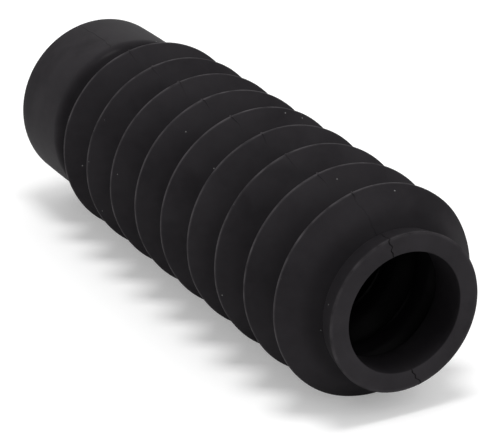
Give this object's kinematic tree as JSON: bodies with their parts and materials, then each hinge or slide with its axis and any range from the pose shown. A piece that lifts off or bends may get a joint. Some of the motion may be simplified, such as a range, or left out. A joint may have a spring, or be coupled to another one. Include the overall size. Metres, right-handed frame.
{
  "type": "fork gaiter",
  "caption": "Moulded rubber fork gaiter: an open bellows of sharp folds between a small thick-walled cuff and a wider thin-walled cuff.",
  "frame": {"origin": "centre of the large cuff's end face, which the gaiter stands on", "axes": "+Z along the gaiter's axis, from the large cuff to the small cuff; the mould's parting line runs up the side near -Y and the side near +Y"},
  "size_m": [0.0536, 0.0536, 0.1631],
  "materials": {
    "rubber": "moulded black rubber, satin, with a faint grey bloom"
  },
  "bodies": {
    "root": {"gaiter": "rubber"}
  },
  "joints": []
}
